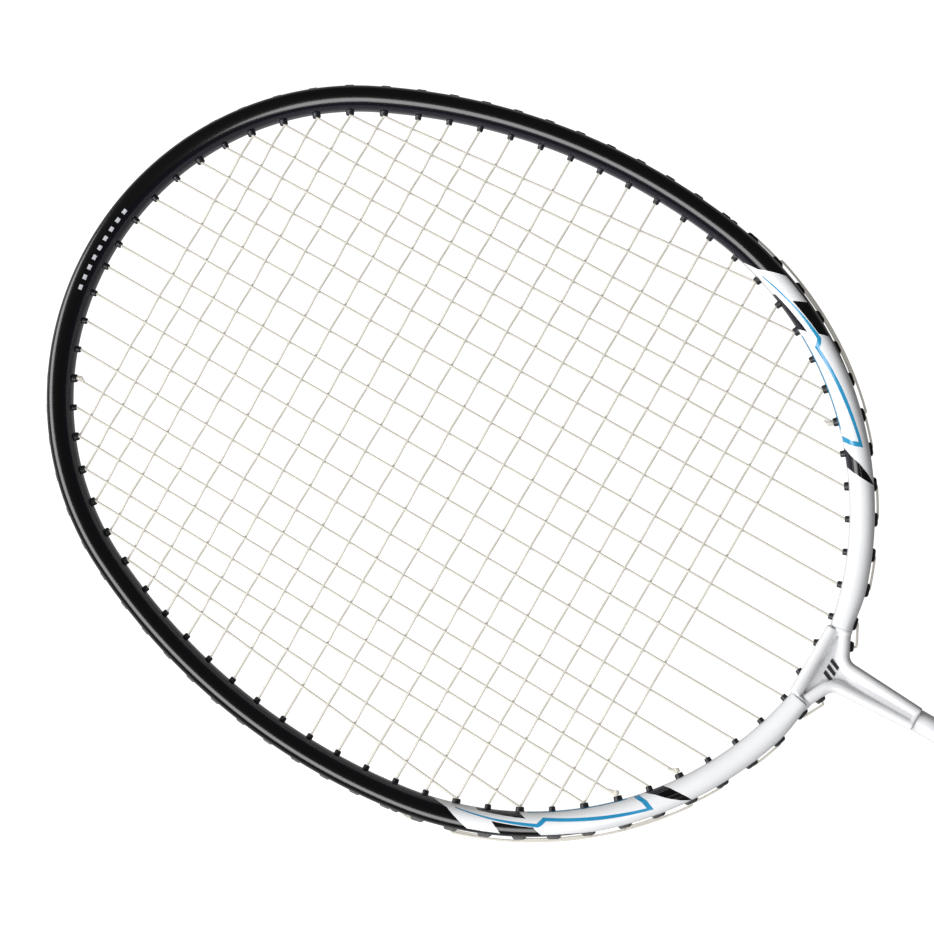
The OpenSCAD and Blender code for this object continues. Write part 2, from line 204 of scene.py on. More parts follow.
white = add(tree, "Mix", {"data_type": "RGBA", 6: linear("#E1E3E6"), 7: linear("#ECECED")},
            {0: cloud}).outputs[2]
# Painted reflection: the black turns bluish towards the inner side of the tube, standing in for the sheen
# it shows there at a grazing angle.
inner_painted_sheen = add(tree, "MapRange", {"From Min": -1.4, "From Max": -3.3}, {"Value": across}).outputs[0]
black = add(tree, "Mix", {"data_type": "RGBA", 6: linear("#030304"), 7: linear("#0A0A1E")},
            {0: inner_painted_sheen}).outputs[2]
blue = add(tree, "Mix", {"data_type": "RGBA", 6: linear("#1B7BAB"), 7: linear("#339CC6")},
           {0: cloud}).outputs[2]
seam = add(tree, "MapRange", {"From Min": hoop_stop - 0.5, "From Max": hoop_stop - 0.15}, {"Value": along})
paint = add(tree, "Mix", {"data_type": "RGBA", 7: linear("#AEB4BA")},
            {0: seam.outputs[0], 6: white}).outputs[2]

# Stripes, from the first laid down to the last: corners are (along the hoop, across it).
PRINT = [
    (black, [(-1, -4), (222, -3.5), (225, -2.6), (226.5, -2.2), (233.3, 2.45), (235, 3.6), (-1, 4)]),
    (black, [(228, 2.45), (233.3, 2.55), (254, 2.6), (268, 3.45), (268, 3.7), (228, 3.7)]),
    (black, [(243.4, 3.4), (240.2, -0.5), (252.2, 0.7), (254.6, 3.4)]),
    (black, [(234.3, -3.7), (235.5, -3.0), (250, -1.75), (247.3, -3.7)]),
    (blue, [(228.9, -2.7), (228.9, -2.45), (240, -0.9), (240, -1.4)]),
    (blue, [(240, -1.4), (240, -0.9), (253.6, 0.75), (253.6, -0.3)]),
    (blue, [(253.0, -0.2), (253.6, 0.75), (254.6, 0.25), (256.0, -1.0), (254.9, -1.9)]),
    (blue, [(254.9, -2.0), (255.3, -1.0), (270, 0.4), (270, -0.65)]),
    (blue, [(270, 0.4), (270, -0.65), (285.2, 0.8), (286.6, 1.75)]),
    (blue, [(285.0, 1.1), (286.6, 1.75), (285.6, -1.2), (284.0, -1.2)]),
    (blue, [(284.0, -1.2), (285.6, -1.2), (283.7, -3.4), (281.9, -3.4)]),
    (blue, [(250, -3.7), (250, -3.3), (280, -3.2), (280, -3.7)]),
    (black, [(285.0, -3.7), (288.3, -2.0), (293.1, -2.0), (291.0, -3.7)]),
    (black, [(288.3, -2.0), (290.9, 0.0), (295.0, 0.2), (293.1, -2.0)]),
    (black, [(290.9, 0.0), (294.3, 2.2), (297.3, 3.7), (296.5, 2.2), (295.0, 0.2)]),
]
for colour, corners in PRINT:
    mask = inside(tree, place, corners)
    paint = add(tree, "Mix", {"data_type": "RGBA"}, {0: mask, 6: paint, 7: colour}).outputs[2]

# A row of plain dashes at the top of the crown, printed in pale grey on the front face.
dash_gap, dash_half, dash_low, dash_high, dashes = 3.3, 0.75, -1.5, -0.5, 9
step = add(tree, "Math", {"operation": "PINGPONG", 1: dash_gap / 2}, {0: along}).outputs[0]
dash = inside(tree, add(tree, "CombineXYZ", {"Z": 1.0}, {"X": step, "Y": across}).outputs[0],
              [(-1.0, dash_low), (-1.0, dash_high), (dash_half, dash_high), (dash_half, dash_low)])
in_row = add(tree, "Math", {"operation": "LESS_THAN", 1: dashes / 2 * dash_gap}, {0: along}).outputs[0]
upper = add(tree, "SeparateXYZ", links={0: rest}).outputs["Z"]
in_row = add(tree, "Math", {"operation": "MULTIPLY"}, {0: in_row, 1: dash}).outputs[0]
on_front = add(tree, "Math", {"operation": "GREATER_THAN", 1: 0.0}, {0: upper}).outputs[0]
in_row = add(tree, "Math", {"operation": "MULTIPLY"}, {0: in_row, 1: on_front}).outputs[0]
paint = add(tree, "Mix", {"data_type": "RGBA", 7: linear("#C9CBD2")}, {0: in_row, 6: paint}).outputs[2]
dull = add(tree, "MapRange", {"From Min": 0.35, "From Max": 0.75, "To Min": 0.13, "To Max": 0.2},
           {"Value": scuff})
bump = add(tree, "Bump", {"Strength": 0.25, "Distance": 0.02 * MM}, {"Height": peel})
dress(tree, shader, paint, dull.outputs[0], bump.outputs[0])

neck_length, neck_outer = 13, 2.6
neck_start = hoop_stop - neck_length


def outer_wall(run):
    """How far the tube's outer side is from its middle: it narrows over its last 13 mm."""
    t = min(1.0, max(0.0, (abs(run) - neck_start) / (hoop_stop - neck_start)))
    return half_tube - (half_tube - neck_outer) * t * t * (3 - 2 * t)


# Rings lie 1 mm apart, closer where the groove runs out and at the two rounded ends.
groove_depth, end_round = 1.55, 0.35
half_runs = np.unique(np.concatenate([
    np.arange(0, hoop_stop - 0.5, 1.0), groove_stop + np.array([-0.2, -0.12, 0.0, 0.1]),
    hoop_stop - end_round * (1 - np.sin(np.radians([0, 22, 45, 67, 90])))]))
runs = np.concatenate([-half_runs[:0:-1], half_runs])
points, across_values = [], []
for run in runs:
    length = abs(run)
    depth = groove_depth * float(np.clip((groove_stop - length) / 0.2, 0, 1))
    outline = tube_outline(depth, outer_wall(run))
    t = float(np.clip((length - hoop_stop + end_round) / end_round, 0, 1))
    shrink = 1 - end_round * (1 - math.sqrt(1 - t * t)) / half_tube
    outline = outline * [shrink, 1 - (1 - shrink) * half_tube / 5]
    points.append(hoop_at(run, outline[:, 0], outline[:, 1]))
    across_values.append(outline[:, 0])
columns = len(points[0])
hoop = make_piece("hoop_tube", np.concatenate(points), tube_faces(len(runs), columns), enamel,
                  along=np.repeat(np.abs(runs), columns), across=np.concatenate(across_values))
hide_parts("head_hoop")

# ---- T-joint ----
# The T-joint is one moulding of glass-filled nylon, painted white: a bar across the
# throat, two legs that curve down beside each other into the stem, and a thin web between
# them. Tongues in the hoop's open ends and a spigot in the shaft are glued.

bar_y, bar_half, leg_half = 427.95, 1.85, 1.75
leg_bend, leg_bend_r = np.array([7.75, bar_y - 10.4]), leg_half + 3
spigot_len, stem_lean = 20, math.radians(3.1)
stem_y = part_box("t_joint")[0].y / MM + spigot_len
seam_mid = hoop_at(hoop_stop, 0.9)[:2]
skew_in, skew_out = np.array([4.3, bar_y + 3.0]), np.array([8.9, bar_y - 7.6])


def unit(rows):
    return rows / np.linalg.norm(rows, axis=1)[:, None]


def heading(path):
    """Direction of a path at each of its points."""
    ahead = unit(np.diff(path, axis=0))
    return unit(np.vstack([ahead[:1], ahead[:-1] + ahead[1:], ahead[-1:]]))


def rail(path, half_w, half_h, ease=0.5):
    """Closed bar along a flat path, with an oval section and eased ends."""
    path = np.asarray(path, float)
    lean = heading(path)
    side = np.stack([lean[:, 1], -lean[:, 0]], axis=-1)
    turn = np.linspace(0, 2 * math.pi, 28, endpoint=False)
    w = half_w * np.cos(turn)
    h = (half_h - half_w) * np.sign(np.sin(turn)) + half_w * np.sin(turn)
    rings = []
    for i, (p, s) in enumerate(zip(path, side)):
        small = 1 - ease / half_w if i in (0, len(path) - 1) else 1.0
        flat = p + s * (w * small)[:, None]
        rings.append(np.column_stack([flat, h * small]))
    return np.concatenate(rings), tube_faces(len(path), len(turn))


def merge(parts):
    """One list of points and one of faces from many."""
    points, faces, first = [], [], 0
    for part_points, part_faces in parts:
        points.append(part_points)
        faces += [[first + v for v in face] for face in part_faces]
        first += len(part_points)
    return np.concatenate(points), faces


def mirrored(part):
    return part[0] * [-1, 1, 1], part[1]


bend_turn = np.radians(np.linspace(86.9, 25, 14))
bend = leg_bend + leg_bend_r * np.array([(-math.sin(a), math.cos(a)) for a in bend_turn])
stem_end = bend[0] - (bend[0][1] - stem_y) * np.array([math.tan(stem_lean), 1.0])
leg_path = [stem_end, stem_end + [0.011, 0.2]] + list(bend) + [seam_mid - [0.6, 0.3], seam_mid + [0.3, 0.1]]
collar_path = [hoop_at(hoop_stop - back, 0.35)[:2] for back in (3.0, 0.6, 0.0, -0.5, -0.8)]
bar_ends = seam_mid[0] - 0.6
bar_path = [(x, bar_y) for x in (-bar_ends, 0.4 - bar_ends, 0.0, bar_ends - 0.4, bar_ends)]
web_half = 1.3
web_rows = [(10.5, bar_y, web_half), (6.85, bar_y - 5, web_half), (3.2, bend[0][1], web_half + 0.3),
            (3.0, 415.0, 2.4), (2.7, 411.0, 2.9), (2.2, 405.0, 3.3), (1.6, stem_y + 1, 3.6)]
square = ((-1, -1), (1, -1), (1, 1), (-1, 1))
web_points = np.array([(x * w, y, z * h) for w, y, h in web_rows for x, z in square])
web = (web_points, tube_faces(len(web_rows), 4))
leg = rail(leg_path, leg_half, 4.0)
collar = rail(collar_path, 2.6, 4.6, 0.4)
stem_foot = rail([(x, stem_y + 0.7) for x in (-3.5, -3.3, 3.3, 3.5)], 0.7, 2.2, 0.2)
stem_crown = rail([(x, stem_y + 0.7) for x in (-1.8, -1.6, 1.6, 1.8)], 0.7, 4.0, 0.2)
body = merge([leg, mirrored(leg), collar, mirrored(collar), rail(bar_path, bar_half, 4.3), web,
              stem_foot, stem_crown])

# Satin-gloss white paint on a nylon moulding: soft, even highlights, a slight sink and
# flow in the surface every few millimetres; the web is a cooler grey with a dry grain.
joint_white, tree, shader, rest = new_material("white paint on moulded nylon", {
    "IOR": 1.5, "Coat Weight": 0.25, "Coat Roughness": 0.12})
cloud = add(tree, "TexNoise", {"Scale": 1 / (6 * MM), "Detail": 3.0}, {"Vector": rest}).outputs["Fac"]
grit = add(tree, "TexNoise", {"Scale": 1 / (0.35 * MM), "Detail": 2.0}, {"Vector": rest}).outputs["Fac"]
recess = add(tree, "Attribute", {"attribute_name": "recess"}).outputs["Fac"]
white = add(tree, "Mix", {"data_type": "RGBA", 6: linear("#DFE0E2"), 7: linear("#EAEAEB")},
            {0: cloud}).outputs[2]
grey = add(tree, "Mix", {"data_type": "RGBA", 6: linear("#C9CACE"), 7: linear("#DEDEE0")},
           {0: grit}).outputs[2]
paint = add(tree, "Mix", {"data_type": "RGBA"}, {0: recess, 6: white, 7: grey}).outputs[2]
dull = add(tree, "MapRange", {"To Min": 0.24, "To Max": 0.5}, {"Value": recess}).outputs[0]
dull = add(tree, "Math", {"operation": "MULTIPLY_ADD", 1: 0.08}, {0: grit, 2: dull}).outputs[0]
flow = add(tree, "Bump", {"Strength": 0.3, "Distance": 0.05 * MM}, {"Height": cloud}).outputs[0]
grain = add(tree, "Bump", {"Strength": 0.35, "Distance": 0.02 * MM}, {"Height": grit, "Normal": flow})
dress(tree, shader, paint, dull, grain.outputs[0])

# The bars are run together into one skin and their meeting lines eased, as in a mould.
rough = make_piece("joint_rough", body[0], body[1], joint_white)
skin = rough.modifiers.new("skin", "REMESH")
skin.mode, skin.voxel_size = "VOXEL", 0.24 * MM
ease = rough.modifiers.new("ease", "SMOOTH")
ease.factor, ease.iterations = 0.5, 5
blended = bpy.data.meshes.new_from_object(rough.evaluated_get(bpy.context.evaluated_depsgraph_get()))
bpy.data.objects.remove(rough)
blended.name = "joint_moulding"
places, normals = (np.zeros(len(blended.vertices) * 3, np.float32) for _ in range(2))
blended.vertices.foreach_get("co", places)
blended.vertices.foreach_get("normal", normals)
places, normals = places.reshape(-1, 3) / MM, normals.reshape(-1, 3)
web_wide, web_tall = (np.interp(-places[:, 1], [-row[1] for row in web_rows], [row[i] for row in web_rows])
                      for i in (0, 2))
in_web = (np.abs(places[:, 2]) < web_tall + 0.35) & (np.abs(normals[:, 2]) > 0.6)
in_web &= (places[:, 1] < bar_y - bar_half + 0.2) & (np.abs(places[:, 0]) < web_wide)
layer = blended.attributes.new("recess", "FLOAT", "POINT")
layer.data.foreach_set("value", in_web.astype(np.float32))
blended.polygons.foreach_set("use_smooth", [True] * len(blended.polygons))
joint = put("joint_moulding", blended)
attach(joint, "root")
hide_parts("t_joint")

# ---- Printed mark on the web ----
# Three slanted bars are pad-printed on each face of the web. The film is too thin to stand
# out, so the frame's own shape is kept and only its ink is set here.


def surface(tree, shader, tints, dullness, relief):
    """Two tints, two roughnesses and a relief (strength, depth in mm), each spread by its map."""
    tint = add(tree, "Mix", {"data_type": "RGBA", 6: linear(tints[0]), 7: linear(tints[1])}, {0: tints[2]})
    dull = add(tree, "MapRange", {"To Min": dullness[0], "To Max": dullness[1]}, {"Value": dullness[2]})
    bump = add(tree, "Bump", {"Strength": relief[0], "Distance": relief[1] * MM}, {"Height": relief[2]})
    dress(tree, shader, tint.outputs[2], dull.outputs[0], bump.outputs[0])


# Pad-printing ink: dense, nearly matt black, a little thin and grey where the pad dragged.
ink, tree, shader, rest = new_material("pad-printing ink", {"IOR": 1.45})
drag = add(tree, "TexNoise", {"Scale": 1 / (0.5 * MM), "Detail": 3.0}, {"Vector": rest}).outputs["Fac"]
surface(tree, shader, tints=("#0D0D10", "#2A2A30", drag), dullness=(0.35, 0.6, drag),
        relief=(0.3, 0.02, drag))
for name in ("t_mark_front", "t_mark_back"):
    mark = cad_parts[name]
    mark.data.materials.clear()
    mark.data.materials.append(ink)

# ---- Shaft ----
# The shaft is a drawn steel tube, glued over the T-joint's spigot and into the handle.
# It is sprayed white and clear-coated like the lower part of the hoop.

shaft_low, shaft_high = (corner.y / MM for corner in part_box("shaft"))
shaft_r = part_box("shaft")[1].x / MM


def turned(profile, sides=64):
    """Closed solid of revolution round the racket's long axis from (radius, height) in mm."""
    profile = np.asarray(profile, float)
    turn = np.linspace(0, 2 * math.pi, sides, endpoint=False)
    rings = [np.column_stack([r * np.cos(turn), np.full(sides, y), r * np.sin(turn)]) for r, y in profile]
    return np.concatenate(rings), tube_faces(len(profile), sides)


# Gloss enamel on steel tube: smooth and bright, with long faint draw lines under the paint.
shaft_paint, tree, shader, rest = new_material("gloss enamel on steel tube", {
    "IOR": 1.5, "Coat Weight": 0.4, "Coat Roughness": 0.06})
cloud = add(tree, "TexNoise", {"Scale": 1 / (14 * MM), "Detail": 3.0}, {"Vector": rest}).outputs["Fac"]
stretch = add(tree, "Mapping", {"Scale": (1.0, 0.02, 1.0)}, {"Vector": rest}).outputs[0]
draw = add(tree, "TexNoise", {"Scale": 1 / (0.5 * MM), "Detail": 2.0}, {"Vector": stretch}).outputs["Fac"]
surface(tree, shader, tints=("#DFE0E2", "#EAEAEB", cloud), dullness=(0.12, 0.24, cloud),
        relief=(0.2, 0.01, draw))

shaft_rows = [(shaft_r, y) for y in np.linspace(shaft_low, shaft_high - 0.3, 40)]
tube = make_piece("shaft_tube", *turned(shaft_rows + [(shaft_r - 0.2, shaft_high)]), shaft_paint)
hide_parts("shaft")

# ---- Cone cap ----
# The cone is a thin ABS moulding that slides down the shaft and closes the top of the
# handle. It flares from the shaft to the width of the grip, with three shallow rings.

cone_low, cone_high = (corner.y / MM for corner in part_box("cone_cap"))

# Moulded ABS, dark: low gloss with a fine spark-eroded grain that scatters the highlight.
abs_dark, tree, shader, rest = new_material("moulded ABS", {"IOR": 1.53})
grain = add(tree, "TexNoise", {"Scale": 1 / (0.3 * MM), "Detail": 3.0}, {"Vector": rest}).outputs["Fac"]
cloud = add(tree, "TexNoise", {"Scale": 1 / (9 * MM), "Detail": 2.0}, {"Vector": rest}).outputs["Fac"]
surface(tree, shader, tints=("#17181B", "#26272B", cloud), dullness=(0.32, 0.5, grain),
        relief=(0.4, 0.03, grain))

cone_knots = [(0, 9.6), (3, 9.55), (9, 8.75), (16, 7.4), (23, 6.15), (30, 5.25), (37, 4.7), (43, 4.4)]
heights = np.linspace(0, 43, 130)
radii = np.interp(heights, *zip(*cone_knots))
radii = np.convolve(np.pad(radii, 6, mode="edge"), np.ones(13) / 13, mode="valid")
for ring in (5.0, 7.0, 9.0):
    radii -= 0.32 * np.exp(-((heights - ring) / 0.42) ** 2)
rows = [(8.9, cone_low)] + [(r, cone_low + 0.4 + h) for r, h in zip(radii, heights)]
rows += [(4.15, cone_high - 0.2), (3.9, cone_high), (3.1, cone_high)]
cone = make_piece("cone_moulding", *turned(rows, 72), abs_dark)
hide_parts("cone_cap")

# ---- Handle core ----
# The handle is an eight-sided bar of pale hardwood, bored for the shaft. The grip covers
# all of it, so only its material is set here.
# Planed hardwood: warm straw colour, with slightly raised long grain about 1.2 mm apart.
wood, tree, shader, rest = new_material("planed hardwood", {"IOR": 1.5})
stretch = add(tree, "Mapping", {"Scale": (1.0, 0.06, 1.0)}, {"Vector": rest}).outputs[0]
figure = add(tree, "TexNoise", {"Scale": 1 / (1.2 * MM), "Detail": 4.0, "Distortion": 0.6},
             {"Vector": stretch}).outputs["Fac"]
surface(tree, shader, tints=("#B98F58", "#DDBB85", figure), dullness=(0.5, 0.75, figure),
        relief=(0.4, 0.08, figure))
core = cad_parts["handle_core"]
core.data.materials.clear()
core.data.materials.append(wood)

# ---- Grip ----
# The grip is one strip of soft polyurethane tape, 25 mm wide, wound up the handle from
# the butt so that each turn laps the last. It is punched with rows of breathing holes.

grip_low, grip_high = (corner.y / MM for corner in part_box("grip_wrap"))
grip_half_w, grip_half_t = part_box("grip_wrap")[1].x / MM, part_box("grip_wrap")[1].z / MM
core_cut = 0.28 * 2 * grip_half_t
lap_pitch, lap_rise, lap_ease, tape_thick = 22.0, 0.75, 0.7, 1.9
punch_gap, punch_row, punch_r, punch_depth = 5.0, 4.4, 0.62, 0.55


def eight_sided(turn, half_w, half_t, cut):
    """Radius of a rounded eight-sided outline in each direction."""
    c, s = np.abs(np.cos(turn)) + 1e-9, np.abs(np.sin(turn)) + 1e-9
    flats = np.stack([half_w / c, half_t / s, (half_w + half_t - cut) / (c + s)])
    return np.sum(flats ** -26.0, axis=0) ** (-1 / 26)


def wound(low, high, rows, columns, height):
    """Closed sleeve round the handle; height(turn, y) is its surface above the core's flats."""
    around = np.linspace(0, 2 * math.pi, columns, endpoint=False)
    turn, y = np.meshgrid(around, np.linspace(low, high, rows))
    flat = eight_sided(turn, grip_half_w - tape_thick, grip_half_t - tape_thick, core_cut * 0.86)
    near_end = np.clip(np.minimum(y - low, high - y) / 0.6, 0, 1)
    r = flat + height(turn, y) * (0.55 + 0.45 * np.sqrt(near_end * (2 - near_end)))
    outer = np.stack([r * np.cos(turn), y, r * np.sin(turn)], axis=-1)
    inner = np.stack([(flat - 0.3) * np.cos(turn), y, (flat - 0.3) * np.sin(turn)], axis=-1)
    points = np.concatenate([inner[0]] + list(outer) + [inner[-1]])
    return points, tube_faces(rows + 2, columns)


girth = 2 * math.pi * 12.1


def tape_surface(turn, y):
    """Thickness of the winding: thick at each lap's edge, thinning over the turn, and punched."""
    lap = (y - grip_low) / lap_pitch + turn / (2 * math.pi)
    number = np.floor(lap)
    part = lap - number
    rise = np.clip(part * lap_pitch / lap_ease, 0, 1)
    thick = 1.15 + lap_rise * (rise * rise * (3 - 2 * rise)) * (1 - part)
    along = girth * (turn / (2 * math.pi) - number)
    row = np.floor(part * lap_pitch / punch_row)
    off_b = part * lap_pitch - (row + 0.5) * punch_row
    shifted = along + punch_gap / 2 * (row % 2)
    off_a = shifted - np.round(shifted / punch_gap) * punch_gap
    hole = np.clip(1.25 - np.hypot(off_a, off_b) / punch_r, 0, 1)
    stitch = 0.03 * np.sin(along * 1.7) * np.sin(part * lap_pitch * 1.9)
    return thick - punch_depth * np.minimum(hole * 1.6, 1) + stitch


# Polyurethane grip tape, calendered on felt: matt, faintly tacky black that goes grey at
# grazing light, with a leather-like grain about 0.8 mm across and paler, worn patches.
grip_tape, tree, shader, rest = new_material("polyurethane grip tape", {
    "IOR": 1.46, "Sheen Weight": 0.25, "Sheen Roughness": 0.45})
grain = add(tree, "TexVoronoi", {"Scale": 1 / (0.8 * MM)}, {"Vector": rest}).outputs["Distance"]
wear = add(tree, "TexNoise", {"Scale": 1 / (18 * MM), "Detail": 4.0}, {"Vector": rest}).outputs["Fac"]
surface(tree, shader, tints=("#101012", "#2C2C2F", wear), dullness=(0.5, 0.78, wear),
        relief=(0.45, 0.08, grain))

wrap = make_piece("grip_winding", *wound(grip_low, grip_high, 340, 180, tape_surface), grip_tape, sharp=60)
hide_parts("grip_wrap")

# ---- Finishing tape ----
# A turn of adhesive vinyl tape holds the end of the grip at the top of the handle. Its
# loose end is lapped over its start, which leaves one small step.
tape_low, tape_high = (corner.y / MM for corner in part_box("finishing_tape"))


def band_surface(turn, _y):
    """Thickness of the one turn: even, but for the step where its loose end is lapped over."""
    part = (turn / (2 * math.pi) + 0.3) % 1.0
    return 1.62 + 0.22 * np.clip(1 - np.abs(part - 0.08) / 0.08, 0, 1) ** 0.3


# Vinyl tape: smooth dark grey with a plastic gloss and a slight stretch ripple across it.
vinyl, tree, shader, rest = new_material("stretched vinyl tape", {"IOR": 1.52})
stretch = add(tree, "Mapping", {"Scale": (1.0, 3.0, 1.0)}, {"Vector": rest}).outputs[0]
ripple = add(tree, "TexNoise", {"Scale": 1 / (3 * MM), "Detail": 3.0}, {"Vector": stretch}).outputs["Fac"]
surface(tree, shader, tints=("#2B2C30", "#3E3F45", ripple), dullness=(0.28, 0.42, ripple),
        relief=(0.35, 0.06, ripple))
band = make_piece("finishing_band", *wound(tape_low, tape_high, 16, 180, band_surface), vinyl, sharp=60)
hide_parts("finishing_tape")

# ---- Butt cap and badge ----
# The butt cap is a moulded ABS cup, stapled over the foot of the handle before the grip
# is wound. A round aluminium badge is pressed into the recess in its end.
cap_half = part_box("butt_cap")[1].x / MM
badge_r, badge_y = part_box("butt_badge")[1].x / MM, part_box("butt_badge")[1].y / MM
cap_rows = [(badge_r + 0.05, badge_y), (badge_r + 0.1, 0.12), (badge_r + 0.35, 0.0), (12.6, 0.0),
            (13.3, 0.15), (13.9, 0.55), (14.25, 1.1), (14.45, 2.0), (cap_half - 0.02, 3.4),
            (14.5, 5.2), (14.3, 7.0), (14.05, 8.6), (13.8, 9.0), (13.75, 9.3), (13.95, 9.7),
            (13.85, 10.9), (13.4, 11.8), (12.9, 12.0)]
points, faces = turned(cap_rows, 96)
turn = np.arctan2(points[:, 2], points[:, 0])
eight = eight_sided(turn, cap_half, cap_half * 0.97, core_cut)
share = np.clip((points[:, 1] - 1.0) / 11, 0, 1) * 0.45
points[:, [0, 2]] *= (1 - share + share * np.minimum(eight / cap_half, 1.0))[:, None]
cap = make_piece("butt_moulding", points, faces, abs_dark)
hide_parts("butt_cap")

# Anodised aluminium, spun-brushed: bright rings round the middle that fan the highlight,
# under a satin clear anodising.
anodised, tree, shader, rest = new_material("brushed anodised aluminium", {"Metallic": 1.0})
parts = add(tree, "SeparateXYZ", links={0: rest})
flat_place = add(tree, "CombineXYZ", links={"X": parts.outputs["X"], "Y": parts.outputs["Z"]}).outputs[0]
from_axis = add(tree, "VectorMath", {"operation": "LENGTH"}, {0: flat_place}).outputs["Value"]
spun_place = add(tree, "CombineXYZ", links={"X": from_axis}).outputs[0]
spun = add(tree, "TexNoise", {"Scale": 1 / (0.25 * MM), "Detail": 4.0},
           {"Vector": spun_place}).outputs["Fac"]
surface(tree, shader, tints=("#A9ACB2", "#D3D6DA", spun), dullness=(0.22, 0.42, spun),
        relief=(0.4, 0.03, spun))
badge_rows = [(0.3, 0.16), (2.6, 0.1), (5.2, 0.02), (5.5, 0.14), (5.9, 0.14), (6.2, 0.02), (7.3, 0.03),
              (7.7, 0.1), (badge_r, 0.3), (badge_r, badge_y)]
badge = make_piece("badge_disc", *turned(badge_rows, 96), anodised)
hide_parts("butt_badge")

# ---- Grommets ----
# Soft black nylon grommets line every string hole: a barrel through the tube and a seat
# on the outside with a channel for the string. A thin strip joins them in the groove.

crown_gap, corner_gap, side_gap, throat_gap = 9.2, 10.65, 9.66, 9.7
cross_holes = [59.2 + corner_gap * j for j in range(5)] + [112.45 + side_gap * j for j in range(17)]
top_holes = [4 + crown_gap * k for k in range(7)] + cross_holes[1:5]
low_holes = [hoop_stop - 2.8 - throat_gap * k for k in range(7)] + [cross_holes[k] for k in (21, 19, 17)]
wide_holes = [top_holes[4]] + top_holes[6:] + [low_holes[4], low_holes[6]] + low_holes[7:]
narrow_holes = sorted({round(run, 6) for run in top_holes + low_holes + cross_holes}
                      - {round(run, 6) for run in wide_holes})
tip_out, seat_base, seat_floor, seat_top = -half_tube - 1.25, 2.0, 2.6, 4.1


def placed(part, origin, outward):
    """A part drawn as (out, along, up) set at a point with its first axis turned outward."""
    outward = np.asarray(outward, float) / np.linalg.norm(outward)
    sideways = np.array([-outward[1], outward[0]])
    flat = np.asarray(origin)[:2] + part[0][:, :1] * outward + part[0][:, 1:2] * sideways
    return np.column_stack([flat, part[0][:, 2]]), part[1]


def barrel(tip, foot, radius, bore):
    """Tapered nylon tube with a rounded rim, a fillet at the wall and an open bore."""
    profile = [(tip + 2.2, bore), (tip + 0.12, bore), (tip, bore + 0.12), (tip - 0.04, radius - 0.28),
               (tip + 0.06, radius - 0.1), (tip + 0.3, radius - 0.02), (tip + 1.1, radius + 0.02),
               (tip + 1.4, radius + 0.16), (tip + 1.7, radius + 0.2), (foot, radius - 0.1), (foot, bore)]
    turn = np.linspace(0, 2 * math.pi, 18, endpoint=False)
    rings = [np.column_stack([np.full(18, x), r * np.cos(turn), r * np.sin(turn)]) for x, r in profile]
    return np.concatenate(rings), grid_faces(len(profile), 18, closed=True)


def saddle(base, floor, top, half_len):
    """Seat on the outside: two rounded walls with the string's channel between them."""
    left = [(-1.4, 0.0, 0), (-1.42, 0.8, 1), (-1.3, 1.0, 1),
            (-0.92, 1.0, 1), (-0.74, 0.82, 1), (-0.56, 0.0, 2)]
    shape = left + [(0.0, -0.08, 2)] + [(-side, h, kind) for side, h, kind in left[::-1]]
    start = [(-1.0, 0.1), (-0.94, 0.5), (-0.8, 0.86), (-0.6, 1.0)]
    stations = start + [(-part, rise) for part, rise in start[::-1]]
    rings = []
    for part, rise in stations:
        out = {0: lambda h: base - 0.3, 1: lambda h: base + (top - base) * rise * h,
               2: lambda h: min(floor + 0.1 * h, base + (top - base) * rise * 0.8)}
        rings.append([(out[kind](h), part * half_len, side) for side, h, kind in shape])
    return np.concatenate(rings), tube_faces(len(stations), len(shape))


def hoop_grommet(run, radius, bore):
    wall = outer_wall(run)
    in_groove = (seat_base, seat_floor, seat_top)
    base, floor, top = in_groove if abs(run) < groove_stop else (wall, wall + 0.4, wall + 0.85)
    part = merge([barrel(tip_out, base + 0.2, radius, bore), saddle(base, floor, top, 1.95)])
    angle = float(hoop_angle(run))
    return placed(part, hoop_at(run), (math.sin(angle), math.cos(angle)))


def skew_grommet(side):
    reach = float(np.linalg.norm(skew_out - skew_in))
    part = merge([barrel(0.25, reach - 0.7, 1.0, 0.5), saddle(reach - 1.4, reach - 0.3, reach, 1.6)])
    return placed(part, skew_in * [side, 1], (skew_out - skew_in) * [side, 1])


def groove_strip(first, last):
    """Thin strip that joins the seats along the floor of the groove."""
    stations = np.linspace(first, last, int((last - first) / 2) + 2)
    section = np.array([(1.9, -1.3), (2.22, -1.25), (2.3, -1.1), (2.3, 1.1), (2.22, 1.25), (1.9, 1.3)])
    rings = [hoop_at(run, section[:, 0], section[:, 1]) for run in stations]
    return np.concatenate(rings), tube_faces(len(stations), len(section))


# Moulded nylon: nearly black, low gloss, with a waxy bloom that comes and goes every
# millimetre or two.
nylon, tree, shader, rest = new_material("moulded grommet nylon", {"IOR": 1.53})
bloom = add(tree, "TexNoise", {"Scale": 1 / (1.6 * MM), "Detail": 3.0}, {"Vector": rest}).outputs["Fac"]
grain = add(tree, "TexNoise", {"Scale": 1 / (0.25 * MM), "Detail": 2.0}, {"Vector": rest}).outputs["Fac"]
surface(tree, shader, tints=("#0B0B0E", "#222328", bloom), dullness=(0.3, 0.55, bloom),
        relief=(0.35, 0.03, grain))

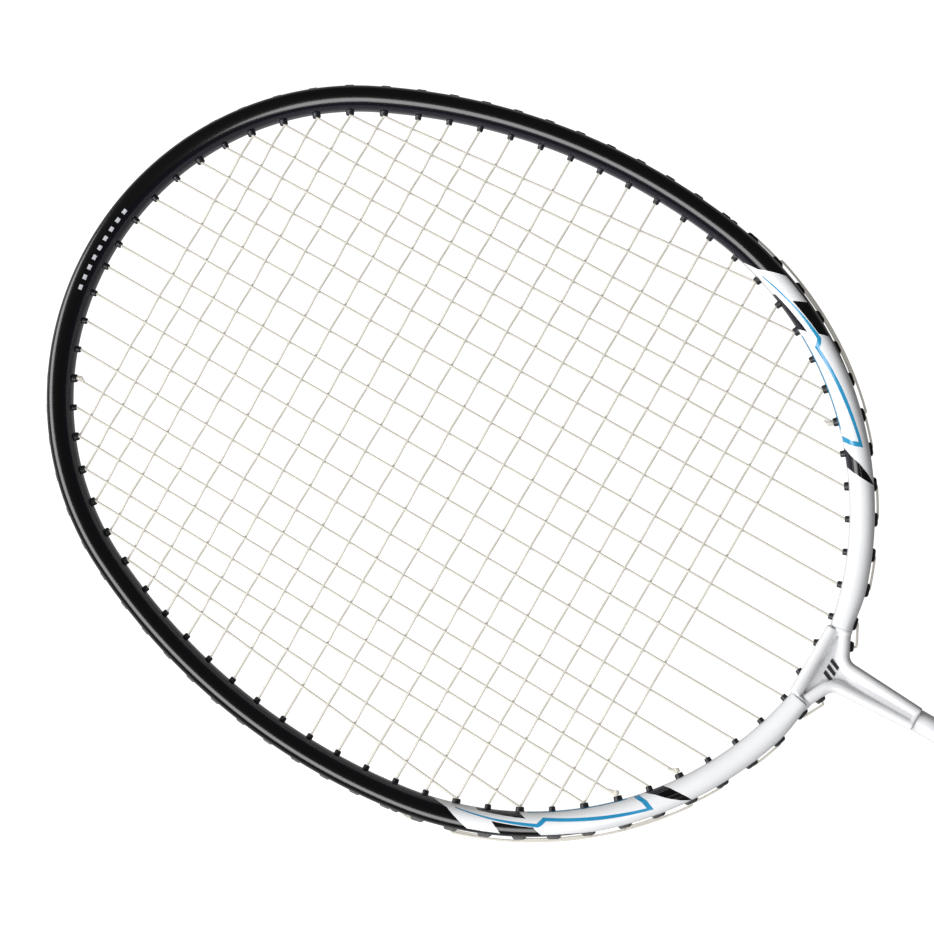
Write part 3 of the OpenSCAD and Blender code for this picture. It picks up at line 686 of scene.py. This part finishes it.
crown_stop = arc_start[1]
SETS = {
    "crown": [s * run for s in (-1, 1) for run in narrow_holes if run < crown_stop],
    "right": [run for run in narrow_holes if crown_stop <= run < groove_stop],
    "left": [-run for run in narrow_holes if crown_stop <= run < groove_stop],
    "throat": [s * run for s in (-1, 1) for run in narrow_holes if run >= groove_stop],
    "shared": [s * run for s in (-1, 1) for run in wide_holes],
}
STRIPS = {"crown": (-crown_stop, crown_stop), "right": (crown_stop, groove_stop - 6),
          "left": (6 - groove_stop, -crown_stop)}
for name, places_of in SETS.items():
    radius, bore = (1.25, 0.86) if name == "shared" else (0.95, 0.5)
    parts = [hoop_grommet(run, radius, bore) for run in places_of]
    if name in STRIPS:
        parts.append(groove_strip(*STRIPS[name]))
    if name == "throat":
        parts += [skew_grommet(side) for side in (-1, 1)]
    grommets = make_piece(name + "_grommet_set", *merge(parts), nylon, sharp=50)
    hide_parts(name + "_grommets")

# ---- Groove ends ----
# A small nylon ramp fills each end of the groove. The string climbs it, from the floor of
# the groove to the plain side of the tube.
for side, name in ((1, "right_groove_end"), (-1, "left_groove_end")):
    shape = [(1.9, -2.9), (2.15, -2.9), (2.8, -0.2), (3.7, 2.6),
             (4.02, 3.6), (4.08, 4.6), (4.0, 4.9), (1.9, 4.9)]
    rows = []
    for up, inset in ((-1.85, 0.18), (-1.7, 0.0), (0.0, 0.0), (1.7, 0.0), (1.85, 0.18)):
        rows.append([hoop_at(side * (groove_stop - 4.6 + along_mm), max(out - inset, 1.9), up)
                     for out, along_mm in shape])
    faces = tube_faces(len(rows), len(shape))
    ramp = make_piece(name + "_ramp", np.concatenate(rows), faces, nylon, sharp=40)
    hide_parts(name)

# ---- Strings ----
# Two lengths of 0.7 mm multifilament nylon: one runs up and down as the mains, the other
# across, over and under them by turns. Outside, each lies along the hoop between holes.

string_r, lane, tie_lift, groove_seat, wall_seat = 0.36, 0.42, 0.56, 2.97, 0.77
main_wave, cross_wave, main_pairs = 0.3, 0.42, 11


def seat_out(run):
    return groove_seat if abs(run) < groove_stop else outer_wall(run) + wall_seat


def is_wide(run):
    return min(abs(abs(run) - wide) for wide in wide_holes) < 0.01


def hole(run, z):
    """Inner tip and outer point of a string through the hole at run."""
    up = z if is_wide(run) else 0.0
    return [hoop_at(run, tip_out, up), hoop_at(run, seat_out(run) - 0.3, up)]


def skew_hole(side):
    return [np.array([side * skew_in[0], skew_in[1], 0]),
            np.array([side * skew_out[0], skew_out[1] - 0.1, 0])]


def outside(start, stop, z, lift=0.0):
    """Along the outside of the hoop from one hole to another."""
    way = 1 if stop > start else -1
    runs_on = np.linspace(start + 0.55 * way, stop - 0.55 * way, max(2, int(abs(stop - start) / 3) + 1))
    return [hoop_at(run, seat_out(run) + lift, z) for run in runs_on]


def main_side(m):
    return -1 if m <= main_pairs else 1


def main_rank(m):
    return main_pairs + 1 - m if m <= main_pairs else m - main_pairs


def main_ends(m):
    """Holes at the foot and the head of a main string, each as [inner, outer]."""
    side, rank = main_side(m), main_rank(m)
    foot = skew_hole(side) if rank == 1 else hole(side * low_holes[rank - 2], lane)
    return foot, hole(side * top_holes[rank - 1], lane)


def main_x(m, y):
    foot, head = (np.asarray(end[0]) for end in main_ends(m))
    return foot[0] + (head[0] - foot[0]) * (y - foot[1]) / (head[1] - foot[1])


def waved(knots):
    """Smooth rise and fall between a run's ends and its crossings."""
    found = [np.asarray(knots[0], float)]
    for a, b in zip(knots, knots[1:]):
        a, b = np.asarray(a, float), np.asarray(b, float)
        for t in (1 / 6, 1 / 3, 1 / 2, 2 / 3, 5 / 6, 1.0):
            p = a + (b - a) * t
            p[2] = a[2] + (b[2] - a[2]) * (1 - math.cos(math.pi * t)) / 2
            found.append(p)
    return found


cross_tips = [hoop_at(run, tip_out) for run in cross_holes]
mains = range(1, 2 * main_pairs + 1)
crossings = {}
for j, tip_point in enumerate(cross_tips):
    for m in mains:
        x = main_x(m, tip_point[1])
        if abs(x) < tip_point[0] - 1.5:
            crossings[m, j] = (x, tip_point[1])


def main_run(m):
    foot, head = main_ends(m)
    mids = [(*crossings[m, j], -main_wave if (m + j) % 2 else main_wave)
            for j in reversed(range(len(cross_holes))) if (m, j) in crossings]
    run = [foot[1]] + waved([foot[0]] + mids + [head[0]]) + [head[1]]
    return run if m % 2 else run[::-1]


def main_link(m):
    """From the end of one main to the start of the next, outside the hoop or the T-joint."""
    side, rank, after = main_side(m), main_rank(m), main_rank(m + 1)
    if m % 2:
        return outside(side * top_holes[rank - 1], main_side(m + 1) * top_holes[after - 1], lane)
    if rank > 1 and after > 1:
        return outside(side * low_holes[rank - 2], side * low_holes[after - 2], lane)
    low = side * low_holes[0]
    link = [skew_hole(side)[1] + [side * 0.5, -0.5, lane], hoop_at(low - side * 0.55, seat_out(low), lane)]
    return link[::-1] if side < 0 else link


def main_tie(side):
    start, stop = side * low_holes[9], side * low_holes[6]
    return outside(start, stop, 0.0, tie_lift) + hole(stop, -lane)[::-1]


main_route = main_tie(-1)[::-1]
for m in mains:
    main_route += main_run(m)
    if m < len(mains):
        main_route += main_link(m)
main_route += main_tie(1)


def cross_run(j):
    side = (-1) ** j
    start, stop = hole(-side * cross_holes[j], -lane), hole(side * cross_holes[j], -lane)
    mids = [(*crossings[m, j], cross_wave if (m + j) % 2 else -cross_wave)
            for m in mains if (m, j) in crossings]
    return [start[1]] + waved([start[0]] + mids[::side] + [stop[0]]) + [stop[1]]


cross_route = hole(-top_holes[4], -lane) + outside(-top_holes[4], -cross_holes[0], -lane, tie_lift)
for j in range(len(cross_holes)):
    side = (-1) ** j
    cross_route += cross_run(j)
    if j < len(cross_holes) - 1:
        cross_route += outside(side * cross_holes[j], side * cross_holes[j + 1], -lane)
cross_route += outside(-cross_holes[-1], -low_holes[4], -lane, tie_lift)
cross_route += hole(-low_holes[4], -lane)[::-1]


def eased(route, reach=0.45):
    """Rounds every sharp corner of a route with a short curve."""
    route = [np.asarray(p, float) for p in route]
    found = [route[0]]
    for before, corner, after in zip(route, route[1:], route[2:]):
        a, b = before - corner, after - corner
        la, lb = np.linalg.norm(a), np.linalg.norm(b)
        if np.dot(a, b) / (la * lb) < -0.94:
            found.append(corner)
            continue
        start, stop = corner + a / la * min(reach, la * 0.45), corner + b / lb * min(reach, lb * 0.45)
        found += [start * (1 - t) ** 2 + corner * 2 * t * (1 - t) + stop * t * t
                  for t in (0, 0.25, 0.5, 0.75, 1)]
    return np.array(found + [route[-1]])


def swept(path, side, over, sides):
    """Round string along a path, with its length and the turn round it kept on every point."""
    turn = np.linspace(0, 2 * math.pi, sides, endpoint=False)
    rings = path[:, None] + string_r * (np.cos(turn)[None, :, None] * side[:, None]
                                        + np.sin(turn)[None, :, None] * over[:, None])
    lengths = np.linalg.norm(np.diff(path, axis=0), axis=1)
    run = np.repeat(np.concatenate([[0], np.cumsum(lengths)]), sides)
    around = np.tile(turn, len(path))
    return rings.reshape(-1, 3), tube_faces(len(path), sides), run, np.cos(around), np.sin(around)


def cord(path):
    """Round string along a path that keeps fairly level."""
    lean = heading(path)
    side = unit(np.cross(lean, [0.0, 0.0, 1.0]))
    return swept(path, side, np.cross(side, lean), 9)


# Multifilament nylon: creamy and slightly translucent, bound in a fine spiral. The wrap
# is really about 0.2 mm; its pitch is drawn at 0.9 mm, as fine as it can show here. A weak
# glow stands in for the light that is scattered inside the nylon.
strand, tree, shader, rest = new_material("multifilament nylon string", {
    "IOR": 1.53, "Coat Weight": 0.15, "Coat Roughness": 0.3, "Emission Color": linear("#E6E2DA"),
    "Emission Strength": 0.3})
length, turn_cos, turn_sin = (add(tree, "Attribute", {"attribute_name": key}).outputs["Fac"]
                              for key in ("length", "turn_cos", "turn_sin"))
spiral_pitch = 0.9
phase = add(tree, "Math", {"operation": "MULTIPLY", 1: 2 * math.pi / spiral_pitch}, {0: length}).outputs[0]
part_a = add(tree, "Math", {"operation": "COSINE"}, {0: phase}).outputs[0]
part_b = add(tree, "Math", {"operation": "SINE"}, {0: phase}).outputs[0]
part_a = add(tree, "Math", {"operation": "MULTIPLY"}, {0: part_a, 1: turn_cos}).outputs[0]
spiral = add(tree, "Math", {"operation": "MULTIPLY_ADD"}, {0: part_b, 1: turn_sin, 2: part_a}).outputs[0]
spiral = add(tree, "Math", {"operation": "MULTIPLY_ADD", 1: 0.5, 2: 0.5}, {0: spiral}).outputs[0]
uneven = add(tree, "TexNoise", {"Scale": 1 / (5 * MM), "Detail": 3.0}, {"Vector": rest}).outputs["Fac"]
light = add(tree, "Mix", {"data_type": "RGBA", 6: linear("#AFABA2"), 7: linear("#BBB7AE")},
            {0: uneven}).outputs[2]
tint = add(tree, "Mix", {"data_type": "RGBA", 6: linear("#A6A297")}, {0: spiral, 7: light}).outputs[2]
dull = add(tree, "MapRange", {"To Min": 0.55, "To Max": 0.38}, {"Value": spiral}).outputs[0]
wrap_bump = add(tree, "Bump", {"Strength": 0.2, "Distance": 0.04 * MM}, {"Height": spiral}).outputs[0]
dress(tree, shader, tint, dull, wrap_bump)

for way, route in (("main", main_route), ("cross", cross_route)):
    points, faces, run, around_cos, around_sin = cord(eased(route))
    string = make_piece(way + "_cord", points, faces, strand, sharp=80,
                        length=run, turn_cos=around_cos, turn_sin=around_sin)
    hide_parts(way + "_string")

# ---- Knots ----
# Each string's ends are tied off against a grommet: two tight half hitches round the
# string that is already there, and a short cut tail.


def knot(run, string_up, tail_way):
    """Two hitches round the string at a hole's inner end, and the tail that leaves them."""
    angle = float(hoop_angle(run))
    inward = -np.array([math.sin(angle), math.cos(angle), 0.0])
    along_hoop = np.array([math.cos(angle), -math.sin(angle), 0.0])
    up = np.array([0.0, 0.0, 1.0])
    middle = hoop_at(run, tip_out, string_up)
    first, pitch, coil_r = 0.3, 0.5, 0.52
    path = [middle + inward * (first + pitch * a / (2 * math.pi))
            + coil_r * (math.cos(a) * up + math.sin(a) * along_hoop)
            for a in np.linspace(0, 4.3 * math.pi, 46)]
    away = along_hoop * tail_way
    path += [path[-1] + away * t + inward * (0.5 * t + 0.12 * t * t) + up * 0.2 * t
             for t in (0.5, 1.0, 1.5)]
    return np.array(path)


def free_cord(path):
    """Round string along a path that also climbs: its frame is carried from ring to ring."""
    lean = unit(np.gradient(path, axis=0))
    side = np.cross(lean[0], [0.3, 0.5, 0.8])
    carried = []
    for ahead in lean:
        side = side - ahead * np.dot(side, ahead)
        side /= np.linalg.norm(side)
        carried.append(side)
    return swept(path, np.array(carried), np.cross(lean, carried), 10)


KNOTS = {
    "main_knots": [(-low_holes[6], lane, 1), (low_holes[6], lane, -1)],
    "cross_knots": [(-top_holes[4], 0.0, -1), (-low_holes[4], 0.0, 1)],
}
for node, ties in KNOTS.items():
    built = [free_cord(knot(*tie)) for tie in ties]
    points, faces = merge([part[:2] for part in built])
    keep = {key: np.concatenate([part[i] for part in built])
            for i, key in ((2, "length"), (3, "turn_cos"), (4, "turn_sin"))}
    tied = make_piece(node + "_tied", points, faces, strand, sharp=80, **keep)
    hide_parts(node)

# ---- Table, lights and camera ----
# The racket lies on a pale lit table in a white room. One long low softbox stands off the
# upper left of the head, which draws a single line of light round the gloss tube.

surface_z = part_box("butt_cap")[0].z - 0.0002
table_half = 4.0
table_mesh = bpy.data.meshes.new("table_top")
table_corners = [(x * table_half, y * table_half, surface_z) for x, y in square]
table_mesh.from_pydata(table_corners, [], [(0, 1, 2, 3)])
table = put("table_top", table_mesh)


def seen_white(tree, dim, strength):
    """Full strength to the camera, and dim to everything else."""
    seen = add(tree, "LightPath").outputs["Is Camera Ray"]
    glow = add(tree, "MapRange", {"To Min": dim, "To Max": 1.0}, {"Value": seen})
    tree.links.new(glow.outputs[0], strength)


# Opal acrylic over a light panel: so evenly white that hardly a shadow shows. It throws
# less light at the racket than it seems to, as the room does, which keeps black parts black.
opal, tree, shader, _ = new_material("lit opal acrylic", {
    "Base Color": linear("#707070"), "Roughness": 0.6, "Emission Color": linear("#FFFFFF")})
seen_white(tree, 0.2, shader.inputs["Emission Strength"])
table_mesh.materials.append(opal)

world = bpy.data.worlds.new("studio")
bpy.context.scene.world = world
world.use_nodes = True
tree = world.node_tree
sky = tree.nodes["Background"]
seen_white(tree, 0.1, sky.inputs["Strength"])
sky.inputs["Color"].default_value = linear("#FFFFFF")


def softbox(name, middle, aim, run, width, watts):
    """Long light panel that runs along a direction and faces a point."""
    lamp = bpy.data.lights.new(name, "AREA")
    lamp.shape, lamp.size, lamp.size_y, lamp.energy = "RECTANGLE", run.length, width, watts
    panel = put(name, lamp)
    lengthwise = run.normalized()
    back = (middle - aim) - lengthwise * (middle - aim).dot(lengthwise)
    back.normalize()
    turned_to = Matrix((lengthwise, back.cross(lengthwise), back)).transposed().to_4x4()
    panel.matrix_world = Matrix.Translation(middle) @ turned_to
    panel.visible_camera = False


head_mid = Vector((0.0, 0.54, 0.0))
strip_near, strip_far = Vector((-0.75, -0.5, 0.8)), Vector((-0.05, 2.6, 0.55))
softbox("long_softbox", head_mid + (strip_near + strip_far) / 2, head_mid, strip_far - strip_near,
        width=0.5, watts=35.0)

# The camera looks down on the head from just below its middle, tilted 10 degrees toward
# the shaft and rolled so that the shaft leaves at the lower right.
aim = Vector((-0.00176, 0.5419, 0.0))
tilt, roll, distance = math.radians(10), math.radians(59.95), 0.7
view_back = Vector((0, -math.sin(tilt), math.cos(tilt)))
level_up = Vector((0, math.cos(tilt), math.sin(tilt)))
right = math.cos(roll) * Vector((1, 0, 0)) - math.sin(roll) * level_up
up = math.sin(roll) * Vector((1, 0, 0)) + math.cos(roll) * level_up
lens = bpy.data.cameras.new("camera")
lens.lens, lens.sensor_width = 92.92, 36.0
camera = put("camera", lens)
turned_to = Matrix((right, up, view_back)).transposed().to_4x4()
camera.matrix_world = Matrix.Translation(aim + view_back * distance) @ turned_to
bpy.context.scene.camera = camera
bpy.context.scene.view_settings.view_transform = "Standard"
